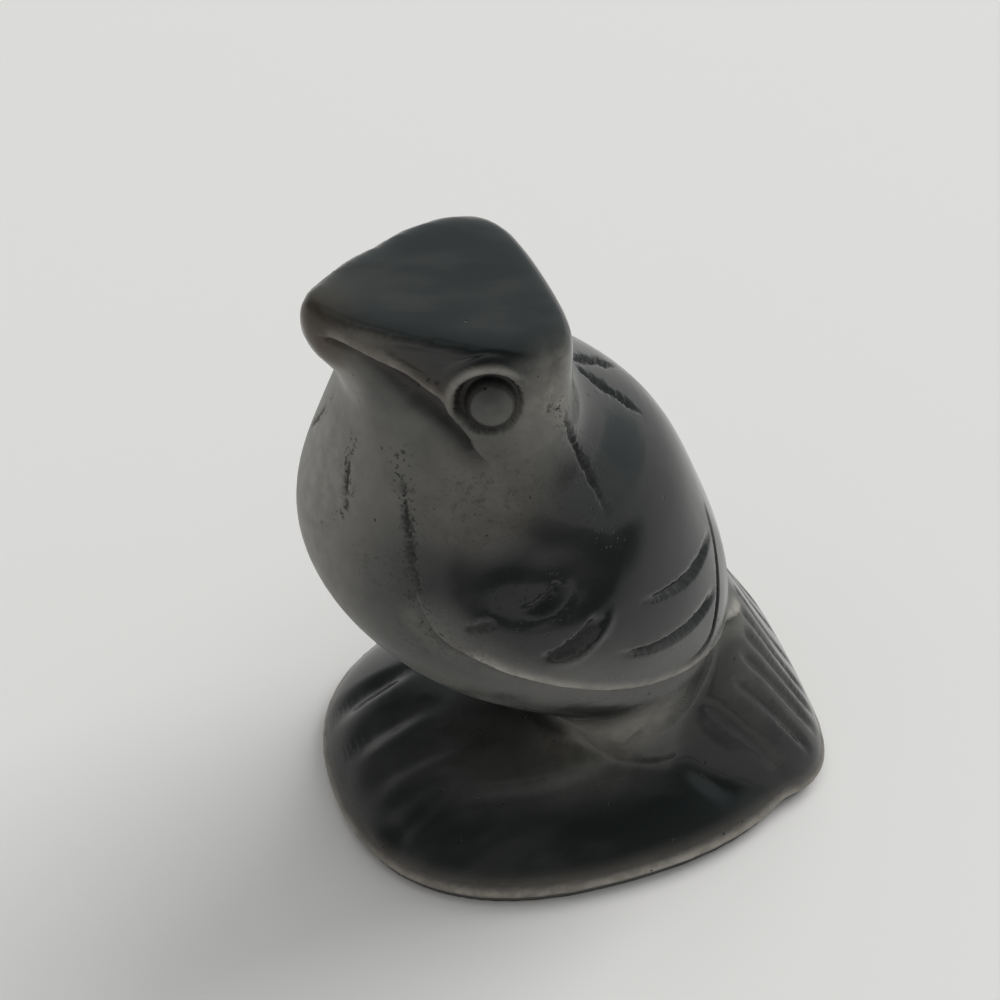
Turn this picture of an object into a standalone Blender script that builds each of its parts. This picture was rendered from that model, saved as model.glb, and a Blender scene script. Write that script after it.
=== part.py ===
"""A small bird carved with its base from one block of black volcanic glass.

Metres, +Z up. The bird faces -Y, and its left side is +X. The origin is at
the middle of the underside.
"""

import math

import bmesh
import bpy
import numpy as np
from mathutils import Vector
from mathutils.bvhtree import BVHTree

# Driving dimensions
FIGURE_HEIGHT = 0.0422  # from the top of the base to the crown
BASE_LENGTH = 0.0385  # along Y, from the front edge to the tail's end
BASE_WIDTH = 0.0300
BASE_HEIGHT = 0.0080  # at its middle, where the bird grows out of it
RIM_HEIGHT = 0.0013  # where the base is widest
RIM_UNDERCUT = 0.0008  # how far the foot of the base draws in below the rim
TAIL_WIDTH = 0.0236  # at its end
EYE_DIAMETER = 0.0044  # of the drilled ring, to its outer edge
LINE_WIDTH = 0.0013  # of an engraved line, from lip to lip
LINE_DEPTH = 0.0005
WING_STEP = 0.0006  # how far the wing stands above the breast beside it
WING_FADE = 0.0045  # over which that step dies away
FURROW_WIDTH = 0.0022  # of the grooves across the front of the base
FURROW_DEPTH = 0.0007
VOXEL = 0.0005  # the grain at which the forms are melted into one
MELT = 8  # passes of smoothing after that
TRIANGLES = 9800  # of the finished solid

# Sizes worked out from them
BASE_BACK = BASE_LENGTH / 2
RUMP_HEIGHT = BASE_HEIGHT + 0.215 * FIGURE_HEIGHT
RUMP_BACK = 0.285 * FIGURE_HEIGHT
BIRD_AXIS = -0.15 * FIGURE_HEIGHT  # where the bird's upright axis stands along Y
FOOT_AXIS = 0.055 * FIGURE_HEIGHT  # where its foot's stands
CROWN_MIDDLE = -0.165 * FIGURE_HEIGHT

RING_POINTS = 24
CAP_RINGS = (0.75, 0.5, 0.25)  # smaller rings that close the top of a form
STROKE_STEPS = 60  # points between two places of a carved line
ABOVE_BASE = 0.0004  # where lines down onto the top of the base start
FAR = 0.1  # outside every form
FLOOR_SNAP = 0.00015  # points nearer the floor than this are laid on it
OBSIDIAN = (0.012, 0.013, 0.014, 1.0)

# The bird's level sections, all as shares of FIGURE_HEIGHT: height above the
# base, front, back and half width, then how square its front and its back are
# (1 is a point, 2 an ellipse), and how many degrees its front is tipped up.
BIRD_SECTIONS = (
    (-0.06, -0.10, 0.28, 0.26, 1.7, 2.0, 0),
    (0.02, -0.11, 0.22, 0.205, 1.6, 2.0, 0),
    (0.09, -0.15, 0.225, 0.215, 1.7, 2.0, 0),
    (0.18, -0.23, 0.24, 0.255, 1.9, 2.0, 0),
    (0.28, -0.35, 0.24, 0.29, 2.0, 2.0, 0),
    (0.40, -0.445, 0.21, 0.315, 2.0, 2.0, 0),
    (0.50, -0.47, 0.175, 0.315, 2.0, 2.0, 0),
    (0.60, -0.46, 0.14, 0.295, 2.0, 2.0, 0),
    (0.69, -0.43, 0.085, 0.26, 2.0, 2.0, 0),
    (0.76, -0.405, -0.01, 0.235, 1.9, 2.1, 0),
    (0.83, -0.39, -0.065, 0.215, 1.7, 2.3, 4),
    (0.92, -0.42, -0.07, 0.193, 1.45, 2.7, 9),
    (0.97, -0.435, -0.07, 0.18, 1.4, 3.1, 11),
    (0.995, -0.43, -0.075, 0.17, 1.4, 3.3, 11),
    (1.00, -0.41, -0.09, 0.148, 1.45, 3.3, 11),
)
# The base above its rim: how far up, and how long and wide it is there.
BASE_SECTIONS = (
    (0.18, 0.965, 0.94),
    (0.46, 0.90, 0.81),
    (0.75, 0.78, 0.62),
    (0.93, 0.62, 0.44),
    (1.0, 0.45, 0.28),
)
BASE_SQUARE = 2.4
# The tail: how far up it, how far out toward its end, and how wide it is there.
TAIL_SECTIONS = (
    (-0.1, 1.0, 1.0),
    (0.12, 1.0, 1.0),
    (0.36, 0.70, 0.88),
    (0.62, 0.39, 0.68),
    (1.0, 0.0, 0.42),
)

# Lines cut into both sides of the bird. Each runs smoothly through a few
# places, given as a bearing in degrees (0 is the front, 90 the side, 180 the
# back) and a share of FIGURE_HEIGHT above the base.
MOUTH = ((6, 1.02), (35, 0.935), (66, 0.845))
WING_EDGE = ((34, 0.82), (45, 0.70), (53, 0.55), (68, 0.465), (112, 0.31), (150, 0.215), (168, 0.175))
EYE = (72, 0.924)
LORE = (34, 0.975)  # the hollow between the brow and the mouth
WING_HOLLOW = (81, 0.63)
# Round the foot: the gap drilled under the breast, and the lobe that it ends at.
UNDERCUT = ((12, 0.012), (35, 0.012), (50, 0.020), (60, 0.042))
LOBE = ((56, 0.045), (68, 0.065), (80, 0.085), (90, 0.11))
FEATHER_LINES = (
    ((103, 0.87), (111, 0.79), (115, 0.685)),  # from the neck onto the shoulder
    ((168, 0.80), (165, 0.70)),  # beside the spine
    ((121, 0.512), (142, 0.466), (160, 0.462)),
    ((111, 0.43), (131, 0.375), (150, 0.368)),
    ((165, 0.476), (156, 0.38), (147, 0.275), (132, 0.268)),
    ((87, 0.468), (97, 0.482), (107, 0.52)),
)
# Down the tail: the bearing of each line and the height it starts from.
TAIL_LINES = ((175, 0.17), (169, 0.17), (165, 0.155), (161.5, 0.13), (157.5, 0.10), (151, 0.085))
TAIL_END = -0.11  # the height they all run down to
TAIL_EDGE = 143.5  # where a valley parts the tail from the top of the base
# Across the base's front end: where each furrow starts and ends across it, as
# shares of half its width (left is positive), and how far forward it starts,
# as a share of half its length.
FURROWS = (
    (0.40, 0.46, 0.52),
    (0.27, 0.25, 0.47),
    (0.13, 0.11, 0.47),
    (-0.12, -0.14, 0.55),
    (-0.32, -0.34, 0.55),
)
# The soft ridge along the left of the base's top.
SWOOSH = ((0.50, -0.05), (0.53, 0.10), (0.52, 0.28), (0.48, 0.46))


def ring(height, front, back, half_width, front_power=2.0, back_power=2.0, tip=0.0, middle=None):
    """The points of one level section, from its back round its left side."""
    if middle is None:
        middle = (front + back) / 2
    slope = math.tan(math.radians(tip))
    points = []
    for step in range(RING_POINTS):
        angle = 2 * math.pi * step / RING_POINTS
        sine, cosine = math.sin(angle), math.cos(angle)
        power = front_power if cosine < 0 else back_power
        reach = middle - front if cosine < 0 else back - middle
        across = half_width * math.copysign(abs(sine) ** (2 / power), sine)
        along = reach * math.copysign(abs(cosine) ** (2 / power), cosine)
        points.append(Vector((across, middle + along, height - slope * along)))
    return points


def fitted(mesh, low, high):
    """Stretches a softened form back to the size its sections give it."""
    points = np.array([vertex.co for vertex in mesh.vertices])
    was_low, was_high = points.min(axis=0), points.max(axis=0)
    points = low + (points - was_low) * (high - low) / (was_high - was_low)
    mesh.vertices.foreach_set("co", points.ravel())
    mesh.update()
    return mesh


def loft(name, sections, levels=2):
    """A closed soft form through level sections, from the lowest up."""
    mesh = bpy.data.meshes.new(name)
    form = bmesh.new()
    centre = sum(sections[-1], Vector()) / RING_POINTS
    caps = [[centre + (point - centre) * share for point in sections[-1]] for share in CAP_RINGS]
    rows = [[form.verts.new(point) for point in section] for section in (*sections, *caps)]
    for lower, upper in zip(rows, rows[1:]):
        for i in range(RING_POINTS):
            j = (i + 1) % RING_POINTS
            form.faces.new((lower[j], lower[i], upper[i], upper[j]))
    form.faces.new(rows[0])
    form.faces.new(list(reversed(rows[-1])))
    bmesh.ops.recalc_face_normals(form, faces=form.faces)
    form.to_mesh(mesh)
    form.free()
    body = bpy.data.objects.new(name, mesh)
    bpy.data.collections["forms"].objects.link(body)
    soften = body.modifiers.new("soften", "SUBSURF")
    soften.levels = soften.render_levels = levels
    corners = np.array([point for section in sections for point in section])
    body.data = fitted(evaluated(body), corners.min(axis=0), corners.max(axis=0))
    body.modifiers.clear()
    return body


def evaluated(body):
    """The mesh an object shows once its modifiers have run."""
    graph = bpy.context.evaluated_depsgraph_get()
    return bpy.data.meshes.new_from_object(body.evaluated_get(graph))


def bird_form():
    sections = []
    for height, front, back, half, front_power, back_power, tip in BIRD_SECTIONS:
        head = tip > 0
        sections.append(
            ring(
                BASE_HEIGHT + height * FIGURE_HEIGHT,
                front * FIGURE_HEIGHT,
                back * FIGURE_HEIGHT,
                half * FIGURE_HEIGHT,
                front_power,
                back_power,
                tip,
                middle=CROWN_MIDDLE if head else None,
            )
        )
    return loft("bird_form", sections)


def base_form():
    """A low rounded block, widest at its rim and drawn in a little below it."""
    half_length, half_width = BASE_LENGTH / 2, BASE_WIDTH / 2
    foot = RIM_UNDERCUT
    square = (BASE_SQUARE, BASE_SQUARE)
    sections = [
        ring(-RIM_HEIGHT, foot - half_length, half_length - foot, half_width - foot, *square),
        ring(0.0, foot - half_length, half_length - foot, half_width - foot, *square),
        ring(RIM_HEIGHT, -half_length, half_length, half_width, *square),
    ]
    for up, along, across in BASE_SECTIONS:
        height = RIM_HEIGHT + up * (BASE_HEIGHT - RIM_HEIGHT)
        reach = half_length * along
        sections.append(ring(height, -reach, reach, half_width * across, *square))
    return loft("base_form", sections)


def tail_form():
    """The closed tail, which spreads from the rump to the back end of the base."""
    inner = 0.09 * FIGURE_HEIGHT
    sections = []
    for up, out, wide in TAIL_SECTIONS:
        back = RUMP_BACK + out * (BASE_BACK - RUMP_BACK)
        sections.append(
            ring(up * RUMP_HEIGHT, inner * out, back, wide * TAIL_WIDTH / 2, 2.5, 3.5)
        )
    return loft("tail_form", sections)


def melted_block():
    """The three forms as one mesh, with their joints melted together."""
    bird, base, tail = bird_form(), base_form(), tail_form()
    for other in (base, tail):
        join = bird.modifiers.new("join " + other.name, "BOOLEAN")
        join.operation = "UNION"
        join.object = other
    melt = bird.modifiers.new("melt", "REMESH")
    melt.mode = "VOXEL"
    melt.voxel_size = VOXEL
    polish = bird.modifiers.new("polish", "SMOOTH")
    polish.factor = 0.5
    polish.iterations = MELT
    block = evaluated(bird)
    for form in (bird, base, tail):
        bpy.data.objects.remove(form)
    return block


def through(places):
    """A smooth run of places through a few."""
    places = [np.array(place, dtype=float) for place in places]
    padded = [2 * places[0] - places[1], *places, 2 * places[-1] - places[-2]]
    run = []
    for i in range(1, len(padded) - 2):
        before, start, end, after = padded[i - 1 : i + 3]
        for step in range(STROKE_STEPS):
            t = step / STROKE_STEPS
            run.append(
                start
                + 0.5 * t * (end - before)
                + t * t * (before - 2.5 * start + 2 * end - 0.5 * after)
                + t**3 * (1.5 * (start - end) + 0.5 * (after - before))
            )
    run.append(places[-1])
    return run


class Block:
    """The melted block while it is being carved."""

    def __init__(self, mesh):
        self.mesh = mesh
        self.points = np.array([vertex.co for vertex in mesh.vertices])
        self.normals = np.array([vertex.normal for vertex in mesh.vertices])
        self.tree = BVHTree.FromPolygons(
            [vertex.co for vertex in mesh.vertices], [face.vertices for face in mesh.polygons]
        )
        self.lift = np.zeros(len(self.points))

    def on_bird(self, bearing, height, side, axis=BIRD_AXIS):
        """Where a level line from an upright axis at this bearing leaves the block."""
        angle = math.radians(bearing)
        out = Vector((side * math.sin(angle), -math.cos(angle), 0.0))
        start = Vector((0.0, axis, BASE_HEIGHT + height * FIGURE_HEIGHT)) + out * FAR
        return self.hit(start, -out)

    def on_base(self, across, along):
        """On the top of the base, at shares of half its width and length."""
        start = Vector((across * BASE_WIDTH / 2, -along * BASE_LENGTH / 2, BASE_HEIGHT + ABOVE_BASE))
        return self.hit(start, Vector((0.0, 0.0, -1.0)))

    def hit(self, start, direction):
        point = self.tree.ray_cast(start, direction)[0]
        return None if point is None else np.array(point)

    def near(self, path):
        """Each point's distance from a path, its share along it, and its side."""
        path = np.array([point for point in path if point is not None])
        box_low, box_high = path.min(axis=0) - 2 * WING_FADE, path.max(axis=0) + 2 * WING_FADE
        close = np.all((self.points > box_low) & (self.points < box_high), axis=1)
        index = np.nonzero(close)[0]
        gaps = np.linalg.norm(self.points[index, None, :] - path[None, :, :], axis=2)
        best = gaps.argmin(axis=1)
        run = np.gradient(path, axis=0)
        away = self.points[index] - path[best]
        turn = np.einsum("ij,ij->i", np.cross(run[best], away), self.normals[index])
        return index, gaps.min(axis=1), best / (len(path) - 1), np.sign(turn)

    def cut(self, path, width, depth, start=0.1, end=0.1):
        """A round groove that shallows toward its ends, or a ridge if depth is negative."""
        index, gap, share, _ = self.near(path)
        taper = np.clip(share / start, 0.25, 1) * np.clip((1 - share) / end, 0.25, 1)
        bell = 0.5 + 0.5 * np.cos(np.pi * np.clip(gap / (width / 2), 0, 1))
        deepest = np.minimum if depth > 0 else np.maximum
        self.lift[index] = deepest(self.lift[index], -depth * taper * bell)

    def step(self, path, side, height, fade):
        """Lowers the surface on one side of a line, dying away from it."""
        index, gap, share, turn = self.near(path)
        taper = np.clip(np.minimum(share, 1 - share) / 0.1, 0, 1)
        edge = np.clip(0.5 + 0.5 * turn * side * gap / (LINE_WIDTH / 2), 0, 1)
        away = np.clip(1 - gap / fade, 0, 1) ** 2
        self.lift[index] -= height * taper * edge * away

    def dent(self, centre, radius, depth):
        """A soft hollow, or a swelling where the depth is negative."""
        gap = np.linalg.norm(self.points - centre, axis=1)
        self.lift -= depth * (0.5 + 0.5 * np.cos(np.pi * np.clip(gap / radius, 0, 1)))

    def eye(self, centre):
        """A drilled ring round a low dome."""
        gap = np.linalg.norm(self.points - centre, axis=1)
        ring_radius = (EYE_DIAMETER - 0.8 * LINE_WIDTH) / 2
        ring = np.clip(np.abs(gap - ring_radius) / (LINE_WIDTH / 2), 0, 1)
        self.lift -= LINE_DEPTH * (0.5 + 0.5 * np.cos(np.pi * ring))

    def settle(self):
        """Moves the points by what was carved since the last time."""
        self.points += self.normals * self.lift[:, None]
        self.mesh.vertices.foreach_set("co", self.points.ravel())
        self.mesh.update()
        self.lift[:] = 0


def carve(mesh):
    """The face, the wings, the tail's feathers and the furrows of the base."""
    block = Block(mesh)
    for side in (1, -1):
        wing = [block.on_bird(*place, side) for place in through(WING_EDGE)]
        block.step(wing, -side, WING_STEP, WING_FADE)
        mouth = [block.on_bird(*place, side) for place in through(MOUTH)]
        block.step(mouth, -side, LINE_DEPTH, EYE_DIAMETER / 2)
        block.dent(block.on_bird(*LORE, side), 0.7 * EYE_DIAMETER, 0.7 * LINE_DEPTH)
        block.dent(block.on_bird(*WING_HOLLOW, side), 1.2 * EYE_DIAMETER, LINE_DEPTH)
        swoosh = [block.on_base(side * across, along) for across, along in through(SWOOSH)]
        block.cut(swoosh, 1.4 * FURROW_WIDTH, -LINE_DEPTH, 0.3, 0.4)
        lobe = [block.on_bird(*place, side, FOOT_AXIS) for place in through(LOBE)]
        block.cut(lobe, 1.7 * EYE_DIAMETER, -2.2 * LINE_DEPTH, 0.35, 0.4)
    block.settle()
    for side in (1, -1):
        lines = [MOUTH, WING_EDGE, *FEATHER_LINES]
        lines += [((bearing, start), (bearing + 1, TAIL_END)) for bearing, start in TAIL_LINES]
        for line in lines:
            path = [block.on_bird(*place, side) for place in through(line)]
            block.cut(path, LINE_WIDTH, LINE_DEPTH)
        gap = [block.on_bird(*place, side, FOOT_AXIS) for place in through(UNDERCUT)]
        block.cut(gap, 1.5 * LINE_WIDTH, 1.6 * LINE_DEPTH)
        block.eye(block.on_bird(*EYE, side))
        edge = [block.on_bird(TAIL_EDGE, height, side) for height in np.linspace(0.06, TAIL_END, 60)]
        block.cut(edge, FURROW_WIDTH, LINE_DEPTH, end=0.3)
    for first, last, along in FURROWS:
        path = [
            block.on_base(first + (last - first) * share, along + (0.99 - along) * share)
            for share in np.linspace(0, 1, 60)
        ]
        block.cut(path, FURROW_WIDTH, FURROW_DEPTH, 0.3, 0.3)
    block.settle()


def thin(mesh):
    """Fewer and larger triangles where the surface is plain."""
    body = bpy.data.objects.new("thin", mesh)
    bpy.data.collections["forms"].objects.link(body)
    fewer = body.modifiers.new("fewer", "DECIMATE")
    fewer.ratio = TRIANGLES / sum(len(face.vertices) - 2 for face in mesh.polygons)
    fewer.use_collapse_triangulate = True
    thinned = evaluated(body)
    bpy.data.objects.remove(body)
    return thinned


def stand(mesh):
    """Cuts the block level at the floor and sets it over the origin."""
    body = bmesh.new()
    body.from_mesh(mesh)
    for vertex in body.verts:
        if abs(vertex.co.z) < FLOOR_SNAP:
            vertex.co.z = 0.0
    geometry = [*body.verts, *body.edges, *body.faces]
    cut = bmesh.ops.bisect_plane(
        body, geom=geometry, dist=1e-6, plane_co=(0, 0, 0), plane_no=(0, 0, 1), clear_inner=True
    )
    edges = [item for item in cut["geom_cut"] if isinstance(item, bmesh.types.BMEdge)]
    bmesh.ops.edgenet_fill(body, edges=edges)
    bmesh.ops.triangulate(body, faces=body.faces)
    low = [min(vertex.co[i] for vertex in body.verts) for i in range(2)]
    high = [max(vertex.co[i] for vertex in body.verts) for i in range(2)]
    middle = Vector(((low[0] + high[0]) / 2, (low[1] + high[1]) / 2, 0.0))
    bmesh.ops.translate(body, verts=body.verts, vec=-middle)
    bmesh.ops.recalc_face_normals(body, faces=body.faces)
    body.to_mesh(mesh)
    body.free()


def obsidian():
    material = bpy.data.materials.new("obsidian")
    material.use_nodes = True
    shader = material.node_tree.nodes["Principled BSDF"]
    shader.inputs["Base Color"].default_value = OBSIDIAN
    shader.inputs["Roughness"].default_value = 0.22
    return material


def main():
    for old in list(bpy.data.objects):
        bpy.data.objects.remove(old)
    for name in ("obsidian_bird", "forms"):
        bpy.context.scene.collection.children.link(bpy.data.collections.new(name))
    block = melted_block()
    carve(block)
    block = thin(block)
    stand(block)
    block.name = "obsidian_bird"
    block.materials.clear()
    block.materials.append(obsidian())
    block.shade_smooth()
    bird = bpy.data.objects.new("obsidian_bird", block)
    bpy.data.collections["obsidian_bird"].objects.link(bird)


main()
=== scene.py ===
"""A small bird carved with its base from one block of obsidian, on a pale table.

Laid out as a Blender add-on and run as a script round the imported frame. The
block is drawn up from three soft forms, melted into one, and carved.
"""

import math

import bmesh
import bpy
import numpy as np
from bpy.props import FloatProperty, FloatVectorProperty, IntProperty, PointerProperty
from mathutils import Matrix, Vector
from mathutils.bvhtree import BVHTree
from mathutils.kdtree import KDTree


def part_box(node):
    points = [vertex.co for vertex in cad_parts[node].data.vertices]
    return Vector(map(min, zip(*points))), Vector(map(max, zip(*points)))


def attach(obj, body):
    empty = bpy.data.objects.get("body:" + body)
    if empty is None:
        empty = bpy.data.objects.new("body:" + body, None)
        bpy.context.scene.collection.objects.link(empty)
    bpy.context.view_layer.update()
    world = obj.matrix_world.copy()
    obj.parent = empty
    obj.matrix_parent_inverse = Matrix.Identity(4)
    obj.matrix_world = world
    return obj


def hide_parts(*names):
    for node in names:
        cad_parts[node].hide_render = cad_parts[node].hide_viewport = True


bl_info = {
    "name": "Carved obsidian bird",
    "version": (1, 0, 0),
    "blender": (4, 5, 0),
    "location": "3D View > Sidebar > Carving",
    "description": "Carves a perched bird and its base from one block of volcanic glass",
    "category": "Object",
}

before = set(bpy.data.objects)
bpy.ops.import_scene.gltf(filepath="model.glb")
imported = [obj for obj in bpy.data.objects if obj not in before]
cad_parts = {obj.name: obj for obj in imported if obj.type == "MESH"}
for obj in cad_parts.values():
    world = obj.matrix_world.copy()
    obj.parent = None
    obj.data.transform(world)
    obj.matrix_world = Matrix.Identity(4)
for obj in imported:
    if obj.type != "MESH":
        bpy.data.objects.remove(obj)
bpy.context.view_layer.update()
NODE = "obsidian_bird"
PIECE = "obsidian_carving"

RING_POINTS = 24
CAP_RINGS = (0.75, 0.5, 0.25)
LIFT = 0.001  # each new ring is drawn up by this before it is laid in place
STROKE_STEPS = 60  # points between two places of a carved line
FAR = 0.1  # outside every form
CLEAR = 0.0004  # above the base, where lines onto its top start
SEED = 7
WANDER_STEPS = 120  # of the slow wander in the width of a ragged line
MARKS = ("cut", "dull", "wear_and_painted_light", "thin", "pitted")  # kept on the mesh for its finish
WINDOW_WAY = (-0.45, 0.89, 0.0)  # toward the bright side of the room

# The bird's level sections, as shares of the figure's height: height above the
# base, front, back and half width, then how square its front and its back are
# (1 is a point, 2 an ellipse), and how many degrees its front is tipped up.
BIRD_SECTIONS = (
    (-0.06, -0.10, 0.28, 0.26, 1.7, 2.0, 0),
    (0.02, -0.11, 0.22, 0.205, 1.6, 2.0, 0),
    (0.09, -0.15, 0.225, 0.215, 1.7, 2.0, 0),
    (0.18, -0.23, 0.24, 0.255, 1.9, 2.0, 0),
    (0.28, -0.35, 0.24, 0.29, 2.0, 2.0, 0),
    (0.40, -0.445, 0.21, 0.315, 2.0, 2.0, 0),
    (0.50, -0.47, 0.175, 0.315, 2.0, 2.0, 0),
    (0.60, -0.46, 0.14, 0.295, 2.0, 2.0, 0),
    (0.69, -0.43, 0.085, 0.26, 2.0, 2.0, 0),
    (0.76, -0.405, -0.01, 0.235, 1.9, 2.1, 0),
    (0.83, -0.39, -0.065, 0.215, 1.7, 2.3, 4),
    (0.92, -0.42, -0.07, 0.193, 1.45, 2.7, 9),
    (0.97, -0.435, -0.07, 0.18, 1.4, 3.1, 11),
    (0.995, -0.43, -0.075, 0.17, 1.4, 3.3, 11),
    (1.00, -0.41, -0.09, 0.148, 1.45, 3.3, 11),
)
BIRD_AXIS = -0.15  # where the bird's upright axis stands along Y, in the same shares
FOOT_AXIS = 0.055  # where its foot's stands
CROWN_MIDDLE = -0.165  # and the middle of its crown
# The base above its rim: how far up, and how long and wide it is there.
BASE_SECTIONS = (
    (0.18, 0.965, 0.94),
    (0.46, 0.90, 0.81),
    (0.75, 0.78, 0.62),
    (0.93, 0.62, 0.44),
    (1.0, 0.45, 0.28),
)
# The tail: how far up it, how far out toward its end, and how wide it is there.
TAIL_SECTIONS = (
    (-0.1, 1.0, 1.0),
    (0.12, 1.0, 1.0),
    (0.36, 0.70, 0.88),
    (0.62, 0.39, 0.68),
    (1.0, 0.0, 0.42),
)
BASE_SQUARE = 2.4  # how square the base is, in the same way as the bird's sections
JOINTS_UP_TO = 0.35  # of the figure's height
RUMP_SHARES = (0.285, 0.215)  # how far back and how high the tail leaves the rump

# Lines cut into both sides of the bird. Each runs smoothly through a few
# places, given as a bearing in degrees (0 is the front, 90 the side, 180 the
# back) and a share of the figure's height above the base.
MOUTH = ((4, 1.015), (19, 0.990), (38, 0.938), (51, 0.900), (63, 0.850))
WING_EDGE = ((34, 0.82), (45, 0.70), (53, 0.55), (68, 0.465), (112, 0.31), (150, 0.215), (168, 0.175))
EYE = (68, 0.924)
HEAD_TURN = math.radians(4.5)  # toward the bird's left
NECK_HEIGHTS = np.array((0.62, 0.88))  # over which it turns


def ring(height, front, back, half_width, front_power=2.0, back_power=2.0, tip=0.0, middle=None):
    """The points of one level section, from its back round its left side."""
    if middle is None:
        middle = (front + back) / 2
    slope = math.tan(math.radians(tip))
    points = []
    for step in range(RING_POINTS):
        angle = 2 * math.pi * step / RING_POINTS
        sine, cosine = math.sin(angle), math.cos(angle)
        power = front_power if cosine < 0 else back_power
        reach = middle - front if cosine < 0 else back - middle
        across = half_width * math.copysign(abs(sine) ** (2 / power), sine)
        along = reach * math.copysign(abs(cosine) ** (2 / power), cosine)
        points.append(Vector((across, middle + along, height - slope * along)))
    return points


def lay_ring(form, section):
    """Puts the chosen ring of points where a section has them."""
    mesh = bmesh.from_edit_mesh(form.data)
    chosen = [vertex for vertex in mesh.verts if vertex.select]

    def round_from_back(points):
        middle = sum(points, Vector()) / len(points)
        turns = [
            (math.atan2(point.x - middle.x, point.y - middle.y) + 0.01) % (2 * math.pi)
            for point in points
        ]
        return sorted(range(len(points)), key=turns.__getitem__)

    was = round_from_back([vertex.co.copy() for vertex in chosen])
    now = round_from_back(section)
    for here, there in zip(was, now):
        chosen[here].co = section[there]
    bmesh.update_edit_mesh(form.data)


def drawn_up(name, sections):
    """A closed soft form, drawn up ring by ring from a disc."""
    bpy.ops.object.select_all(action="DESELECT")
    bpy.ops.mesh.primitive_circle_add(vertices=RING_POINTS, radius=LIFT, fill_type="NGON")
    form = bpy.context.object
    form.name = name
    centre = sum(sections[-1], Vector()) / RING_POINTS
    caps = [[centre + (point - centre) * share for point in sections[-1]] for share in CAP_RINGS]
    bpy.ops.object.mode_set(mode="EDIT")
    bpy.ops.mesh.select_all(action="SELECT")
    lay_ring(form, sections[0])
    for section in (*sections[1:], *caps):
        bpy.ops.mesh.extrude_region_move(TRANSFORM_OT_translate={"value": (0.0, 0.0, LIFT)})
        lay_ring(form, section)
    bpy.ops.mesh.select_all(action="SELECT")
    bpy.ops.mesh.normals_make_consistent(inside=False)
    bpy.ops.object.mode_set(mode="OBJECT")
    soften = form.modifiers.new("soften", "SUBSURF")
    soften.levels = soften.render_levels = 2
    bpy.ops.object.modifier_apply(modifier=soften.name)
    corners = np.array([point for section in sections for point in section])
    stretch(form.data, corners.min(axis=0), corners.max(axis=0))
    return form


def points_of(mesh):
    points = np.empty(3 * len(mesh.vertices))
    mesh.vertices.foreach_get("co", points)
    return points.reshape(-1, 3)


def normals_of(mesh):
    normals = np.empty(3 * len(mesh.vertices))
    mesh.vertices.foreach_get("normal", normals)
    return normals.reshape(-1, 3)


def tree_of(points):
    """The points laid out so that the nearest to a place is found fast."""
    tree = KDTree(len(points))
    for i, point in enumerate(points):
        tree.insert(point, i)
    tree.balance()
    return tree


def stretch(mesh, low, high):
    """Stretches a mesh to fill the box between two corners."""
    points = points_of(mesh)
    was_low, was_high = points.min(axis=0), points.max(axis=0)
    points = low + (points - was_low) * (high - low) / (was_high - was_low)
    mesh.vertices.foreach_set("co", points.ravel())
    mesh.update()


def through(places):
    """A smooth run of places through a few."""
    places = [np.array(place, dtype=float) for place in places]
    padded = [2 * places[0] - places[1], *places, 2 * places[-1] - places[-2]]
    run = []
    for i in range(1, len(padded) - 2):
        before, start, end, after = padded[i - 1 : i + 3]
        for step in range(STROKE_STEPS):
            t = step / STROKE_STEPS
            run.append(
                start
                + 0.5 * t * (end - before)
                + t * t * (before - 2.5 * start + 2 * end - 0.5 * after)
                + t**3 * (1.5 * (start - end) + 0.5 * (after - before))
            )
    run.append(places[-1])
    return run


def bell(gap, reach):
    """1 on a line, falling smoothly to 0 at its reach."""
    return 0.5 + 0.5 * np.cos(np.pi * np.clip(gap / reach, 0, 1))


def ramp(value, low, high):
    """0 below low, 1 above high, and smooth between."""
    share = np.clip((value - low) / (high - low), 0, 1)
    return share * share * (3 - 2 * share)


def along(share, values):
    """A width or depth at shares of a path: one value, or several evenly spaced."""
    values = np.atleast_1d(values)
    return np.interp(share, np.linspace(0, 1, len(values)), values)


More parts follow.
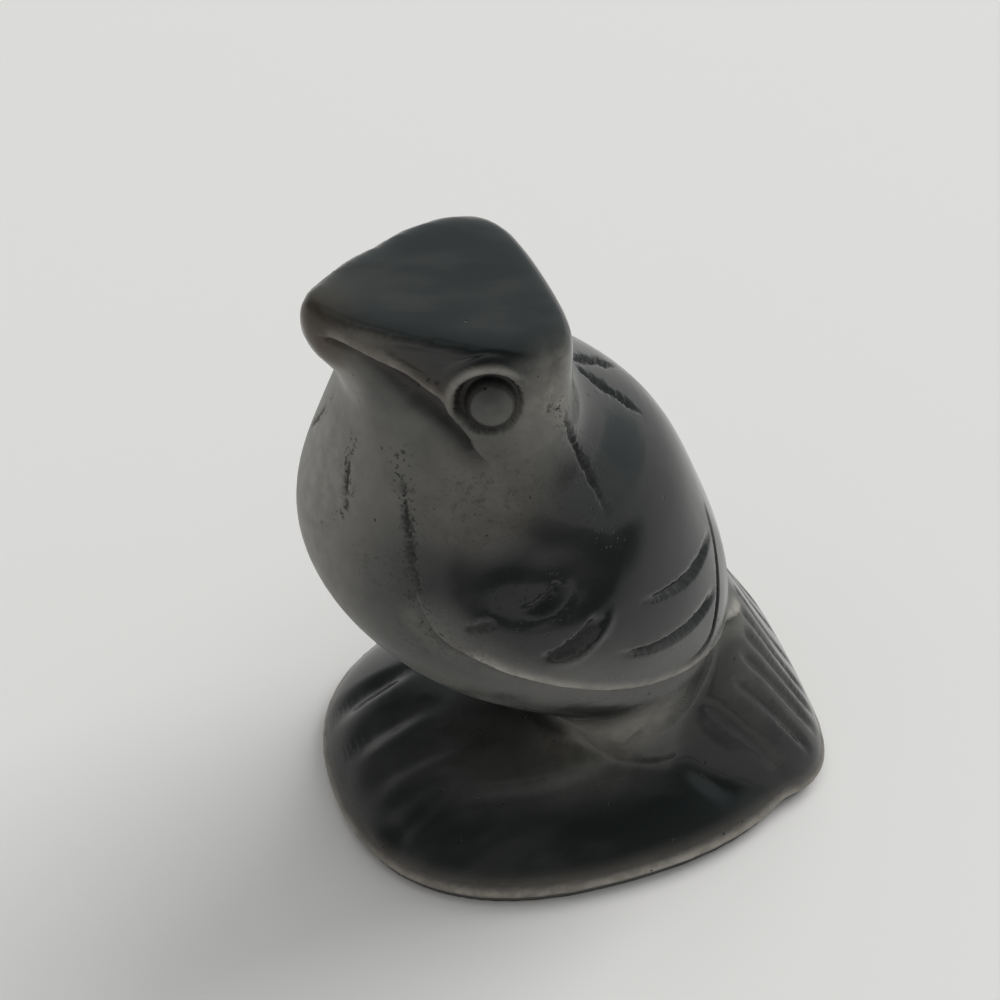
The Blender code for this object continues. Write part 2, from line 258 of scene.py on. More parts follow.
class Block:
    """The block while it is being carved."""

    def __init__(self, body, sizes):
        self.body = body
        self.sizes = sizes
        self.random = np.random.default_rng(SEED)
        mesh = body.data
        self.guide = BVHTree.FromPolygons(
            [vertex.co for vertex in mesh.vertices], [face.vertices for face in mesh.polygons]
        )
        self.read()

    def read(self):
        """Takes up the mesh as it now is."""
        mesh = self.body.data
        self.points = points_of(mesh)
        self.normals = normals_of(mesh)
        self.lift = np.zeros(len(self.points))
        self.marks = {name: np.zeros(len(self.points)) for name in MARKS}

    def on_bird(self, bearing, height, side, axis=BIRD_AXIS):
        """Where a level line toward an upright axis at this bearing meets the form."""
        sizes = self.sizes
        angle = math.radians(bearing)
        out = Vector((side * math.sin(angle), -math.cos(angle), 0.0))
        up = sizes.base_height + height * sizes.figure_height
        start = Vector((0.0, axis * sizes.figure_height, up)) + out * FAR
        return self.hit(start, -out)

    def spot(self, bearing, height, side):
        """One such place, which has to be there."""
        point = self.on_bird(bearing, height, side)
        if point is None:
            raise ValueError(f"the form is not met at bearing {bearing}, height {height}")
        return point

    def on_base(self, across, forward, side=1):
        """On the top of the base, at shares of half its width and length."""
        sizes = self.sizes
        start = Vector((
            side * across * sizes.base_width / 2,
            -forward * sizes.base_length / 2,
            sizes.base_height + CLEAR,
        ))
        return self.hit(start, Vector((0.0, 0.0, -1.0)))

    def hit(self, start, direction):
        point = self.guide.ray_cast(start, direction)[0]
        return None if point is None else np.array(point)

    def line(self, places, side, axis=BIRD_AXIS):
        """A smooth line over the bird through a few places."""
        path = [self.on_bird(*place, side, axis) for place in through(places)]
        return np.array([point for point in path if point is not None])

    def base_line(self, places, side):
        """A smooth line over the top of the base through a few places."""
        path = [self.on_base(*place, side) for place in through(places)]
        return np.array([point for point in path if point is not None])

    def near(self, path, reach):
        """The points near a path: distance from it, share along it, and side."""
        low, high = path.min(axis=0) - reach, path.max(axis=0) + reach
        index = np.nonzero(np.all((self.points > low) & (self.points < high), axis=1))[0]
        tree = tree_of(path)
        best =np.empty(len(index), dtype=int)
        gap = np.empty(len(index))
        for i, point in enumerate(self.points[index]):
            _, best[i], gap[i] = tree.find(point)
        close = gap < reach
        index, best, gap = index[close], best[close], gap[close]
        run = np.gradient(path, axis=0)
        away = self.points[index] - path[best]
        turn = np.einsum("ij,ij->i", np.cross(run[best], away), self.normals[index])
        return index, gap, best / (len(path) - 1), np.sign(turn)

    def cut(self, path, width, depth, side=1, lean=0.0, ends=(0.1, 0.1), rough=0.0, dust=1.0):
        """A groove, or a ridge if the depth is negative.

        Width, depth and the dust left in it may change along it. It is steep on one
        side and gentle on the other where it leans, and it shallows over the given
        share of each end.
        """
        index, gap, share, turn = self.near(path, 1.1 * np.max(width))
        half = along(share, width) / 2 * (1 + lean * turn * side)
        wander = np.convolve(self.random.normal(0, 1, WANDER_STEPS), np.ones(9) / 3, mode="same")
        slow = np.interp(share, np.linspace(0, 1, WANDER_STEPS), wander)
        ragged = 0.5 * slow + 0.6 * self.random.normal(0, 1, len(index))
        half *= 1 + rough * np.clip(ragged, -1, 1)
        taper = ramp(share, -0.02, ends[0]) * ramp(1 - share, -0.02, ends[1])
        shape = bell(gap, half) * taper
        deep = along(share, depth)
        deepest = np.maximum if np.max(depth) < 0 else np.minimum
        self.lift[index] = deepest(self.lift[index], -deep * shape)
        self.mark("cut", along(share, dust) * shape, index)

    def step(self, path, side, height, fade):
        """Lowers the surface on one side of a line, dying away from it."""
        index, gap, share, turn = self.near(path, fade)
        taper = ramp(share, 0, 0.1) * ramp(1 - share, 0, 0.1)
        edge = np.clip(0.5 + 0.5 * turn * side * gap / (self.sizes.line_width / 2), 0, 1)
        away = np.clip(1 - gap / fade, 0, 1) ** 2
        self.lift[index] -= along(share, height) * taper * edge * away

    def dent(self, centre, radius, depth):
        """A soft hollow, or a swelling where the depth is negative."""
        self.lift -= depth * bell(np.linalg.norm(self.points - centre, axis=1), radius)

    def mark(self, name, amount, index=slice(None)):
        """Notes how much of a finish lies at some points, or at all of them."""
        marks = self.marks[name]
        marks[index] = np.maximum(marks[index], amount)

    def blot(self, name, centre, radius, amount):
        """A soft patch of a finish, or a place wiped clean of it if negative."""
        spread = amount * bell(np.linalg.norm(self.points - centre, axis=1), radius)
        marks = self.marks[name]
        if amount > 0:
            marks[:] = marks + (1 - marks) * spread
        else:
            marks *= 1 + spread

    def settle(self):
        """Moves the points by what was carved since the last time."""
        self.points += self.normals * self.lift[:, None]
        mesh = self.body.data
        mesh.vertices.foreach_set("co", self.points.ravel())
        mesh.update()
        self.normals = normals_of(mesh)
        self.lift[:] = 0

    def divide(self, chosen):
        """Halves the faces whose middle is chosen, and evens them."""
        body = self.body
        bpy.ops.object.mode_set(mode="EDIT")
        bpy.ops.mesh.select_all(action="DESELECT")
        mesh = bmesh.from_edit_mesh(body.data)
        for face in mesh.faces:
            face.select_set(chosen(face.calc_center_median()))
        bmesh.update_edit_mesh(body.data)
        bpy.ops.mesh.subdivide(number_cuts=1, quadcorner="INNERVERT")
        bpy.ops.mesh.vertices_smooth(factor=0.5, repeat=2)
        bpy.ops.object.mode_set(mode="OBJECT")


class BirdSizes(bpy.types.PropertyGroup):
    figure_height: FloatProperty(
        name="Figure height", description="From the top of the base to the crown",
        default=0.0422, unit="LENGTH",
    )
    base_length: FloatProperty(
        name="Base length", description="From the front edge to the tail's end",
        default=0.0385, unit="LENGTH",
    )
    base_width: FloatProperty(
        name="Base width", description="Across the base at its rim", default=0.0300, unit="LENGTH"
    )
    base_height: FloatProperty(
        name="Base height", description="At the middle of the base", default=0.0080, unit="LENGTH"
    )
    rim_height: FloatProperty(
        name="Rim height", description="Where the base is widest", default=0.0013, unit="LENGTH"
    )
    rim_undercut: FloatProperty(
        name="Rim undercut", description="How far the foot draws in below the rim",
        default=0.0008, unit="LENGTH",
    )
    tail_width: FloatProperty(
        name="Tail width", description="Across the tail at its end", default=0.0236, unit="LENGTH"
    )
    eye_diameter: FloatProperty(
        name="Eye diameter", description="Of the drilled ring", default=0.0044, unit="LENGTH"
    )
    line_width: FloatProperty(
        name="Line width", description="Of an engraved line", default=0.0009, unit="LENGTH"
    )
    line_depth: FloatProperty(
        name="Line depth", description="Of an engraved line", default=0.0004, unit="LENGTH"
    )
    furrow_width: FloatProperty(
        name="Furrow width", description="Of the grooves across the base's front",
        default=0.0022, unit="LENGTH",
    )
    furrow_depth: FloatProperty(
        name="Furrow depth", description="Of the grooves across the base's front",
        default=0.0007, unit="LENGTH",
    )
    wing_step: FloatProperty(
        name="Wing step", description="How far the wing stands above the breast",
        default=0.0006, unit="LENGTH",
    )
    grain: FloatProperty(
        name="Grain", description="Size of the faces before the lines are cut",
        default=0.00042, unit="LENGTH", precision=5,
    )
    polishing: IntProperty(
        name="Polishing", description="Passes that soften the whole block", default=4
    )
    melting: IntProperty(
        name="Melting", description="Passes that soften the joints of the forms", default=8
    )


class BirdFinish(bpy.types.PropertyGroup):
    glass: FloatVectorProperty(
        name="Obsidian", description="The polished glass", subtype="COLOR",
        size=3, default=(0.0042, 0.0057, 0.0057),
    )
    # The dull film. On the band below the base's rim it is a painted reflection of the table, on the base
    # under the breast painted light, and along the ridge over the base partly a painted highlight.
    grit_film_and_painted_light: FloatVectorProperty(
        name="Grit film and painted light", description="Where the polish stayed dull", subtype="COLOR",
        size=3, default=(0.124, 0.121, 0.111),
    )
    # Pale wear. Along the base's rim it is a painted highlight, and on the lobe it is painted light in the
    # shade under the belly.
    worn_edge_and_rim_highlight: FloatVectorProperty(
        name="Worn edge and rim highlight", description="Where edges are ground pale", subtype="COLOR",
        size=3, default=(0.50, 0.465, 0.41),
    )
    thin_glass: FloatVectorProperty(
        name="Thin glass", description="Where light comes through an edge", subtype="COLOR",
        size=3, default=(0.070, 0.050, 0.034),
    )
    # Laid in the cuts and pits. In the eye's ring it is painted shade, heaviest on the ring's upper side.
    grime_and_groove_shade: FloatVectorProperty(
        name="Grime and groove shade", description="Left in the cuts", subtype="COLOR",
        size=3, default=(0.008, 0.0078, 0.0072),
    )
    table: FloatVectorProperty(
        name="Table", description="What the carving stands on", subtype="COLOR",
        size=3, default=(0.84, 0.815, 0.80),
    )


class CARVING_OT_block(bpy.types.Operator):
    """Draw up the bird, the base and the tail, and melt them into one block"""

    bl_idname = "carving.block"
    bl_label = "Rough out the block"

    def execute(self, context):
        sizes = context.scene.bird_sizes
        forms = [self.bird(sizes), self.base(sizes), self.tail(sizes)]
        bird = forms[0]
        bpy.ops.object.select_all(action="DESELECT")
        context.view_layer.objects.active = bird
        bird.select_set(True)
        for other in forms[1:]:
            join = bird.modifiers.new("join", "BOOLEAN")
            join.operation = "UNION"
            join.object = other
            bpy.ops.object.modifier_apply(modifier=join.name)
        melt = bird.modifiers.new("melt", "REMESH")
        melt.mode = "VOXEL"
        melt.voxel_size = sizes.grain
        bpy.ops.object.modifier_apply(modifier=melt.name)
        joints = bird.vertex_groups.new(name="joints")
        top = sizes.base_height + JOINTS_UP_TO * sizes.figure_height
        joints.add([vertex.index for vertex in bird.data.vertices if vertex.co.z < top], 1.0, "REPLACE")
        for passes, group in ((sizes.polishing, ""), (sizes.melting, joints.name)):
            polish = bird.modifiers.new("polish", "SMOOTH")
            polish.factor = 0.5
            polish.iterations = passes
            polish.vertex_group = group
            bpy.ops.object.modifier_apply(modifier=polish.name)
        bird.vertex_groups.clear()
        for other in forms[1:]:
            bpy.data.objects.remove(other)
        bird.name = PIECE
        return {"FINISHED"}

    def bird(self, sizes):
        tall = sizes.figure_height
        sections = []
        for height, front, back, half, front_power, back_power, tip in BIRD_SECTIONS:
            middle = CROWN_MIDDLE * tall if tip > 0 else None
            sections.append(ring(
                sizes.base_height + height * tall,
                front * tall, back * tall, half * tall, front_power, back_power, tip, middle,
            ))
        return drawn_up("bird form", sections)

    def base(self, sizes):
        long, wide, foot = sizes.base_length / 2, sizes.base_width / 2, sizes.rim_undercut
        square = BASE_SQUARE
        sections = [
            ring(-sizes.rim_height, foot - long, long - foot, wide - foot, square, square),
            ring(0.0, foot - long, long - foot, wide - foot, square, square),
            ring(sizes.rim_height, -long, long, wide, square, square),
        ]
        for up, along, across in BASE_SECTIONS:
            height = sizes.rim_height + up * (sizes.base_height - sizes.rim_height)
            sections.append(ring(height, -long * along, long * along, wide * across, square, square))
        return drawn_up("base form", sections)

    def tail(self, sizes):
        rump_back = RUMP_SHARES[0] * sizes.figure_height
        rump_height = sizes.base_height + RUMP_SHARES[1] * sizes.figure_height
        inner = 0.09 * sizes.figure_height
        sections = []
        for up, out, across in TAIL_SECTIONS:
            back = rump_back + out * (sizes.base_length / 2 - rump_back)
            half = across * sizes.tail_width / 2
            sections.append(ring(up * rump_height, inner * out, back, half, 2.5, 3.5))
        return drawn_up("tail form", sections)


# Each feather line: its places, then its width and depth in engraved lines, how
# much it leans, and how ragged it is.
FEATHER_LINES = (
    (((101, 0.875), (105, 0.845), (110, 0.79), (113.5, 0.745), (116, 0.68)),
     (0.6, 0.9, 0.9, 0.6), 0.7, 0.2, 0.5),
    (((35, 0.800), (39, 0.766), (42, 0.729), (46, 0.684), (49, 0.639), (54, 0.577)),
     (0.5, 0.8, 0.9, 0.7), 0.5, 0.0, 0.9),
    (((13, 0.775), (16, 0.730), (21, 0.680)), 0.6, 0.35, 0.0, 0.9),
    (((177, 0.785), (172, 0.765), (168.5, 0.735), (166, 0.695)), (0.7, 1.4, 1.3, 0.8), 0.9, 0.0, 0.5),
    (((119, 0.512), (131, 0.484), (142, 0.463), (160, 0.452)), (0.7, 1.4, 1.6), (0.5, 1.3, 1.4), 0.3, 0.12),
    (((109, 0.432), (122, 0.392), (139, 0.366), (152, 0.362)), (0.7, 1.4, 1.6), (0.5, 1.3, 1.4), 0.3, 0.12),
    (((166, 0.50), (162, 0.44), (157, 0.385), (151, 0.312), (146, 0.275), (132, 0.268)), 0.9, 0.9, 0.0, 0.1),
    (((80, 0.578), (87, 0.585), (92, 0.603), (94, 0.628)), (1.2, 2.0, 1.5), (0.5, 1.3, 0.9), -0.3, 0.15),
    (((86, 0.478), (93, 0.478), (100, 0.500), (105, 0.532)), (1.4, 2.2, 1.7), (0.6, 1.4, 0.9), -0.3, 0.15),
    (((64, 0.545), (69, 0.550), (74, 0.562)), 1.4, 0.5, 0.0, 0.3),
)
# Tail lines: bearing, where they start, depth in engraved lines.
TAIL_LINES = (
    (176, 0.175, 0.8),
    (169.5, 0.175, 0.9),
    (165, 0.16, 0.9),
    (161, 0.135, 0.9),
    (156.5, 0.10, 0.8),
    (151, 0.075, 0.4),
)
TAIL_END = -0.11  # the height where they end
TAIL_EDGE = 143.5  # the bearing of the valley between the tail and the base
TAIL_RIDGE = ((134, 0.19), (141, 0.13), (147, 0.06), (150, 0.0), (151, -0.07))
# Furrows over the front of the base: places across and forward, as shares of half
# its width and half its length.
FURROWS = (
    ((0.37, 0.50), (0.43, 0.66), (0.47, 0.84), (0.48, 0.95)),
    ((0.24, 0.42), (0.21, 0.60), (0.19, 0.78), (0.18, 0.95)),
    ((-0.04, 0.50), (-0.07, 0.95)),
    ((-0.34, 0.50), (-0.36, 0.95)),
)
# The ridge that sweeps forward over each side of the base, in the same way.
SWOOSH = ((0.50, -0.16), (0.53, 0.10), (0.52, 0.30), (0.47, 0.50), (0.44, 0.64))
# Round the foot: the drilled gap under the breast, and the lobe that it ends at.
UNDERCUT = ((12, 0.012), (35, 0.012), (50, 0.020), (60, 0.042))
LOBE = ((56, 0.045), (68, 0.065), (80, 0.085), (90, 0.11))
# Round the eye: how far from its middle the swollen collar and the crease outside
# it lie, and how far each reaches, in eye diameters.
EYE_COLLAR = (0.57, 0.10)
EYE_CREASE = (0.74, 0.10)
EYE_TILT = np.array((0.0, -0.55, 0.83))  # from the eye toward the thick of its rim
# Soft hollows, and a swelling at the tip of the beak: bearing, height, radius in
# eye diameters, depth in engraved lines.
HOLLOWS = (
    (80, 0.635, 1.15, 1.8), (98, 0.61, 0.9, 1.1), (84, 0.80, 1.1, 0.5), (70, 0.50, 0.7, 0.5),
    (14, 0.37, 2.4, 1.3), (6, 0.865, 1.2, 0.7), (2, 0.99, 1.0, -0.7),
)
LORE_HOLLOW = (40, 0.968, 0.85, 1.2)  # before the eye
# The raised lips of two gouges on the wing.
GOUGE_LIPS = (
    ((82, 0.554), (90, 0.560), (96, 0.578), (99, 0.600), (100, 0.620)),
    ((88, 0.452), (97, 0.455), (104, 0.480), (108, 0.505), (110, 0.535)),
)
LIP = ((9, 1.020), (21, 1.000), (29, 0.978), (41, 0.944), (49, 0.922))  # above the mouth
# Where the glass is dull from the grit, was rubbed clean again, is worn pale, is
# thin, or is pitted: bearing, height, radius in eye diameters, and how much.
DULL_PLACES = (
    (-12, 0.74, 2.4, 0.6), (3, 0.90, 2.6, 0.9), (25, 0.86, 2.2, 0.7), (50, 0.78, 1.8, 0.6),
    (69, 0.765, 1.7, 0.6), (84, 0.87, 1.4, 0.7), (100, 0.90, 1.2, 0.7), (10, 0.60, 3.0, 0.85),
    (160, 0.08, 2.2, 0.5), (30, 0.42, 2.6, 0.75), (10, 0.25, 2.4, 0.75), (60, 0.33, 2.0, 0.75),
    (92, 0.37, 1.8, 0.75), (125, 0.30, 1.6, 0.6),
)
WIPED_PLACES = (
    (70, 0.60, 2.3, 0.7), (92, 0.60, 2.3, 0.75), (110, 0.58, 1.6, 0.8), (84, 0.52, 1.3, 0.5),
    (150, 0.60, 3.0, 0.9), (34, 0.980, 0.75, 0.9), (43, 0.965, 0.75, 1.0), (1, 1.01, 0.9, 0.6),
)
WORN_PLACES = (
    (100, 0.93, 0.9, 0.3), (92, 0.88, 0.8, 0.18), (2, 0.92, 0.9, 0.4), (17, 1.0, 0.35, 0.3),
    (66, 0.775, 1.4, 0.14), (-4, 0.74, 1.9, 0.13), (4, 0.62, 2.0, 0.11), (12, 0.46, 2.0, 0.09),
)
THIN_PLACES = ((3, 1.00, 0.9, 1.0), (30, 0.975, 0.6, 0.3), (66, 0.775, 1.3, 0.35))
PITTED_PLACES = (
    (69, 0.765, 1.5, 0.4), (38, 0.62, 0.8, 0.5), (84, 0.55, 1.3, 0.3), (55, 0.50, 1.2, 0.4),
    (112, 0.76, 1.0, 0.6),
)
# Lines of pits, down the breast and down the neck.
CHEST_LINE = ((12, 0.803), (14, 0.743), (18, 0.72), (19, 0.66))
NECK_LINE = ((99, 0.90), (109, 0.79), (115, 0.64))
# The crown's clean polish sets in between these heights above the floor, as shares
# of the figure's height. It takes away this much of what is dull and what is thin.
CROWN_FROM = np.array((1.02, 1.10))
CROWN_WIPED = (("dull", 0.98), ("thin", 0.3))


class CARVING_OT_relief(bpy.types.Operator):
    """Carve the wings, the face, the tail and the base into the block"""

    bl_idname = "carving.relief"
    bl_label = "Carve the relief"

    def execute(self, context):
        sizes = context.scene.bird_sizes
        block = Block(bpy.data.objects[PIECE], sizes)
        self.broad_forms(block, sizes)
        strokes = self.strokes(block, sizes)
        self.refine(block, sizes, strokes)
        block.read()
        for side in (1, -1):
            self.ridges(block, sizes, side)
            self.face(block, sizes, side)
        block.settle()
        for path, options in strokes:
            block.cut(path, **options)
        for side in (1, -1):
            self.blots(block, sizes, side, "dull", DULL_PLACES)
        for side in (1, -1):
            self.finishes(block, sizes, side)
            self.eye(block, sizes, side)
        self.rim(block, sizes)
        self.crown(block, sizes)
        block.settle()
        self.turn_head(block, sizes)
        self.stand(block)
        return {"FINISHED"}

    def hollow(self, block, sizes, side, bearing, height, radius, depth):
        """A soft hollow: its radius in eye diameters, its depth in engraved lines."""
        centre = block.spot(bearing, height, side)
        block.dent(centre, radius * sizes.eye_diameter, depth * sizes.line_depth)

    def blots(self, block, sizes, side, name, places, way=1):
        """Soft patches of a finish, or places wiped clean of it where the way is -1."""
        for bearing, height, radius, amount in places:
            centre = block.spot(bearing, height, side)
            block.blot(name, centre, radius * sizes.eye_diameter, way * amount)

    def broad_forms(self, block, sizes):
        """The wings above the breast, the cheeks below the beak, and the hollows."""
        wing_height = sizes.wing_step * np.array((0.0, 0.1, 1.0, 1.2, 1.1))
        cheek_height = sizes.line_depth * np.array((1.2, 2.4, 2.4, 0.8))
        for side in (1, -1):
            block.step(block.line(WING_EDGE, side), -side, wing_height, 6.5 * sizes.line_width)
            block.step(block.line(MOUTH, side), -side, cheek_height, 0.55 * sizes.eye_diameter)
            for place in HOLLOWS:
                self.hollow(block, sizes, side, *place)
        block.settle()

    def ridges(self, block, sizes, side):
        """The lobe beside the foot, the ridge over the base, the lips, and the tail's side."""
        eye, deep = sizes.eye_diameter, sizes.line_depth
        fine, furrow = sizes.line_width, sizes.furrow_width
        plain = dict(side=side, dust=0.0)
        block.cut(block.line(LOBE, side, FOOT_AXIS), 2.4 * eye, -1.5 * deep, ends=(0.35, 0.4), **plain)
        sweep = block.base_line(SWOOSH, side)
        block.cut(sweep, 2.0 * furrow, -1.3 * deep, lean=-0.3, ends=(0.3, 0.4), **plain)
        for places in GOUGE_LIPS:
            block.cut(block.line(places, side), 1.5 * fine, -0.45 * deep, ends=(0.3, 0.3), **plain)
        block.cut(block.line(LIP, side), 1.3 * fine, -0.7 * deep, ends=(0.2, 0.3), **plain)
        edge = [block.on_bird(TAIL_EDGE, height, side) for height in np.linspace(0.04, TAIL_END, 60)]
        block.cut(np.array(edge), 1.6 * furrow, 1.0 * deep, ends=(0.45, 0.35), **plain)

    def face(self, block, sizes, side):
        """The hollow before the eye, and the swollen rim over its front and top."""
        eye, deep = sizes.eye_diameter, sizes.line_depth
        self.hollow(block, sizes, side, *LORE_HOLLOW)
        away = block.points - block.spot(*EYE, side)
        gap = np.linalg.norm(away, axis=1)
        upward = (away @ EYE_TILT) / (gap + 1e-9)
        collar, crease = [
            bell(np.abs(gap - middle * eye), reach * eye) for middle, reach in (EYE_COLLAR, EYE_CREASE)
        ]
        block.lift += 0.5 * deep * collar * ramp(upward, -0.5, 0.4)
        block.lift -= 0.4 * deep * crease * ramp(upward, 0.3, 0.8)

    def strokes(self, block, sizes):
        """Every groove: its path, and how it is cut."""
        found = []
        fine, deep = sizes.line_width, sizes.line_depth
        for side in (1, -1):
            found.append((block.line(MOUTH, side), dict(
                width=fine * np.array((0.7, 1.2, 1.9, 1.6, 0.9)),
                depth=deep * np.array((0.8, 1.5, 2.3, 2.0, 0.9)),
                side=side, lean=-0.75, ends=(0.12, 0.12), dust=0.7)))
            found.append((block.line(WING_EDGE, side), dict(
                width=1.2 * fine, depth=deep * np.array((0.0, 0.1, 1.5, 1.9, 1.6)),
                side=side, lean=-0.35, rough=0.15, dust=(0.0, 0.1, 1.0, 1.0, 1.0))))
            for places, width, depth, lean, rough in FEATHER_LINES:
                width, depth = fine * np.array(width), deep * np.array(depth)
                found.append((block.line(places, side), dict(
                    width=width, depth=depth, side=side, lean=lean, rough=rough, ends=(0.3, 0.2))))
            for bearing, start, depth in TAIL_LINES:
                path = [block.on_bird(bearing, height, side) for height in np.linspace(start, TAIL_END, 90)]
                found.append((np.array(path), dict(
                    width=1.5 * fine, depth=depth * deep, ends=(0.12, 0.25), rough=0.12, dust=0.4)))
            found.append((block.line(UNDERCUT, side, FOOT_AXIS), dict(
                width=2.2 * fine, depth=2.4 * deep, side=side, ends=(0.2, 0.04), dust=0.0)))
        for places in FURROWS:
            found.append((block.base_line(places, 1), dict(
                width=sizes.furrow_width * np.array((0.9, 1.6, 2.1)),
                depth=sizes.furrow_depth * np.array((0.4, 0.75, 0.75)),
                ends=(0.5, 0.3), dust=0.0)))
        return found

    def refine(self, block, sizes, strokes):
        """Halves the faces along the lines, and again on the face, to cut them crisply."""
        fine = sizes.line_width
        lines = tree_of(np.concatenate([path[::3] for path, _ in strokes]))
        mouths = tree_of(np.concatenate([block.line(MOUTH, side)[::3] for side in (1, -1)]))
        eyes = [Vector(block.spot(*EYE, side)) for side in (1, -1)]

        def by_eye(middle, reach):
            return min((middle - eye).length for eye in eyes) < reach * sizes.eye_diameter

        block.divide(lambda middle: lines.find(middle)[2] < fine or by_eye(middle, 1.1))
        block.divide(lambda middle: mouths.find(middle)[2] < 0.8 * fine or by_eye(middle, 0.6))
        bpy.ops.object.mode_set(mode="EDIT")
        bpy.ops.mesh.select_all(action="SELECT")
        bpy.ops.mesh.quads_convert_to_tris(quad_method="SHORTEST_DIAGONAL", ngon_method="BEAUTY")
        bpy.ops.object.mode_set(mode="OBJECT")

    def eye(self, block, sizes, side):
        """A ring drilled round a low dome, with a steep outer wall."""
        centre = block.spot(*EYE, side)
        gap = np.linalg.norm(block.points - centre, axis=1)
        outer = sizes.eye_diameter / 2
        chipped = gap * (1 + 0.02 * block.random.normal(0, 1, len(gap)))
        inner = np.linalg.norm(block.points - centre + 0.12 * outer * EYE_TILT, axis=1)
        groove = ramp(outer - chipped, 0, 0.09 * outer) * ramp(inner, 0.56 * outer, 0.82 * outer)
        disc = ramp(0.8 * outer - inner, 0, 0.8 * outer)
        tilt = (block.points - centre) @ EYE_TILT / outer
        block.lift -= sizes.line_depth * (1.9 + 0.8 * tilt) * groove
        inside = ramp(0.72 * outer - inner, 0, 0.1 * outer)
        block.lift -= sizes.line_depth * (0.5 - 1.4 * disc + 0.4 * tilt) * inside
        # The dark colour laid in the ring is painted shade, heaviest toward the thick upper side of the rim.
        block.mark("cut", (0.6 + 0.4 * np.clip(tilt, -1, 1)) * groove)
        away = (block.points - centre) @ EYE_TILT / (gap + 1e-9)
        collar = bell(np.abs(gap - 1.16 * outer), 0.2 * outer) * ramp(away, -0.2, 0.5)
        block.mark("dull", collar)
        block.mark("wear_and_painted_light", 0.35 * collar)
        block.mark("dull", 0.6 * bell(inner, 0.7 * outer))

    def finishes(self, block, sizes, side):
        """Where the glass is dull, worn, thin or pitted, with painted light on the lobe and on the base
        under the breast, a painted highlight along the ridge over the base, and painted shade under the lip.
        """
        eye, fine = sizes.eye_diameter, sizes.line_width
        self.blots(block, sizes, side, "wear_and_painted_light", WORN_PLACES)
        self.blots(block, sizes, side, "thin", THIN_PLACES)
        self.blots(block, sizes, side, "pitted", PITTED_PLACES)
        self.blots(block, sizes, side, "dull", WIPED_PLACES, way=-1)
        # Along a line: its places, its axis, the finish, how far it reaches, how much
        # of it, and whether it lies on both sides of the line (0) or on one (1).
        for places, axis, name, reach, amount, way in (
            (WING_EDGE[2:], BIRD_AXIS, "dull", 4.0 * fine, 0.9, 0),
            (WING_EDGE[3:], BIRD_AXIS, "wear_and_painted_light", 1.8 * fine, 0.75, 1),
            (WING_EDGE[:4], BIRD_AXIS, "pitted", 1.6 * fine, 1.0, 0),
            (LIP, BIRD_AXIS, "dull", 1.0 * fine, 1.0, 0),
            (LIP, BIRD_AXIS, "wear_and_painted_light", 0.7 * fine, 0.45, 0),
            (LIP, BIRD_AXIS, "thin", 2.4 * fine, 0.5, 0),
            (CHEST_LINE, BIRD_AXIS, "pitted", fine, 1.0, 0),
            (NECK_LINE, BIRD_AXIS, "pitted", 1.6 * fine, 1.0, 0),
            (UNDERCUT, FOOT_AXIS, "dull", 2.6 * fine, 0.8, 0),
            (LOBE, FOOT_AXIS, "dull", 1.8 * eye, 1.0, 0),
            # On the lobe this pale mark is painted light, lifting the shade under the belly.
            (LOBE, FOOT_AXIS, "wear_and_painted_light", 1.2 * eye, 0.28, 0),
            (TAIL_RIDGE, BIRD_AXIS, "dull", 1.6 * fine, 0.3, 0),
        ):
            index, gap, _, turn = block.near(block.line(places, side, axis), reach)
            onto = np.where(turn * side * way < 0, 0.0, 1.0)
            block.mark(name, amount * bell(gap, reach) * onto, index)
        # Below the mouth's line the dull film and the wear are wiped away: painted shade under the lip.
        index, gap, share, turn = block.near(block.line(MOUTH, side), 2.2 * fine)
        inside = bell(gap, 2.2 * fine) * (turn * side < 0) * ramp(share, 0.1, 0.5)
        for name in ("dull", "wear_and_painted_light"):
            block.marks[name][index] *= 1 - 0.9 * inside
        # Dull along the first part of the ridge over the base: the lobe's dust, with a painted highlight
        # along the ridge.
        index, gap, share, _ = block.near(block.base_line(SWOOSH, side), 2.4 * fine)
        block.mark("dull", 0.8 * bell(gap, 2.4 * fine) * ramp(0.6 - share, 0, 0.5), index)
        # A dull patch on the base under the breast: painted light in the shade there.
        block.blot("dull", block.on_base(0.35, 0.35, side), 2.0 * eye, 0.3)

    def rim(self, block, sizes):
        """The base's edge stands out over its foot. It is dull and a little brown; its pale line is a
        painted highlight, and the dull band below it is a painted reflection of the table.
        """
        up, rim = block.points[:, 2], sizes.rim_height
        out = np.hypot(block.points[:, 0] / sizes.base_width, block.points[:, 1] / sizes.base_length)
        outside = ramp(out, 0.40, 0.45)
        edge = bell(np.abs(up - 1.15 * rim), 0.45 * rim) * outside
        below = bell(np.abs(up - 0.35 * rim), 0.5 * rim) * outside
        above = ramp(up, 0, 1.2 * rim) * ramp(2.4 * rim - up, 0, 1.6 * rim)
        block.lift += 0.4 * sizes.line_depth * edge - 0.5 * sizes.line_depth * below
        # The dull band below the edge is a painted reflection of the table.
        block.mark("dull", np.maximum(edge, 0.8 * below))
        block.mark("dull", 0.9 * above * outside)
        # The pale line along the edge is a painted highlight.
        block.mark("wear_and_painted_light", bell(np.abs(up - 1.1 * rim), 0.5 * rim) * outside)
        block.mark("thin", 0.6 * above * outside)

    def crown(self, block, sizes):
        """The level top of the head is polished clean."""
        level = ramp(block.normals[:, 2], 0.6, 0.9)
        crown = level * ramp(block.points[:, 2], *CROWN_FROM * sizes.figure_height)
        for name, share in CROWN_WIPED:
            block.marks[name] *= 1 - share * crown

